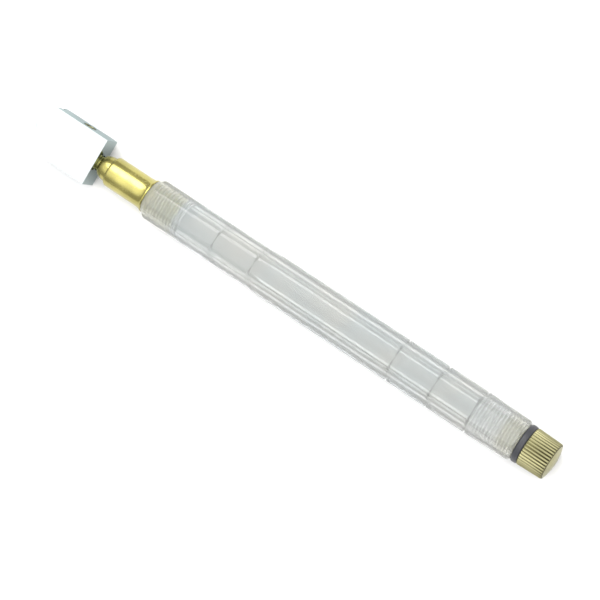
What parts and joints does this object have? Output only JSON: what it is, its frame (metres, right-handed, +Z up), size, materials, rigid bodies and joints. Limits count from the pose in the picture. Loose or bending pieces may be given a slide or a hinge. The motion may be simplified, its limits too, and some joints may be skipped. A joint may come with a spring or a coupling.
{
  "type": "glass cutter",
  "caption": "Oil-fed glass cutter: wide swivelling plated head with a carbide wheel, brass nose, clear six-sided oil barrel with fine rings, and a knurled brass filler cap.",
  "frame": {"origin": "on the surface it lies on, under the middle of its length and width", "axes": "+X along the tool from the cutting wheel to the filler cap, +Z up out of the flat it lies on, +Y across"},
  "size_m": [0.1756, 0.015, 0.0116],
  "materials": {
    "clear_barrel": "clear cast acrylic, lightly hazed by handling",
    "polished_brass": "polished, unlacquered",
    "knurled_brass": "dull, straight knurled",
    "plated_head": "bright nickel plate",
    "carbide": "ground carbide",
    "bright_steel": "drawn steel",
    "black_rubber": "matt",
    "pale_seal": "matt, undyed"
  },
  "bodies": {
    "handle": {"barrel": "clear_barrel", "nose_socket": "polished_brass", "nose_o_ring": "pale_seal", "feed_spring": "bright_steel"},
    "press_carriage": {"thrust_washer": "bright_steel"},
    "head": {"swivel_stem": "polished_brass", "valve_o_ring": "black_rubber", "valve_nut": "polished_brass", "head_block": "plated_head", "head_screw": "polished_brass", "wheel_axle": "bright_steel"},
    "wheel": {"cutting_wheel": "carbide"},
    "cap_seal": {"cap_o_ring": "black_rubber"},
    "cap": {"filler_cap": "knurled_brass"}
  },
  "joints": [
    {"name": "head_press", "type": "slide", "parent": "handle", "child": "press_carriage", "axis": [1, 0, 0], "range_m": [0, 0.0008], "stiffness_N_per_m": 1200, "springref_m": -0.002, "deforming": ["feed_spring"]},
    {"name": "head_swivel", "type": "hinge", "parent": "press_carriage", "child": "head", "pos_m": [-0.0653, 0, 0.0058], "axis": [1, 0, 0], "continuous": true},
    {"name": "wheel_spin", "type": "hinge", "parent": "head", "child": "wheel", "pos_m": [-0.0853, 0, 0.0058], "axis": [0, -0.1219, 0.9925], "continuous": true},
    {"name": "cap_travel", "type": "slide", "parent": "handle", "child": "cap_seal", "axis": [1, 0, 0], "range_m": [0, 0.02]},
    {"name": "cap_turn", "type": "hinge", "parent": "cap_seal", "child": "cap", "pos_m": [0.0791, 0, 0.0058], "axis": [1, 0, 0], "range_deg": [0, 7200]}
  ],
  "couplings": [
    {"joint": "cap_travel", "follows": "cap_turn", "m_per_rad": 0.00015915}
  ]
}
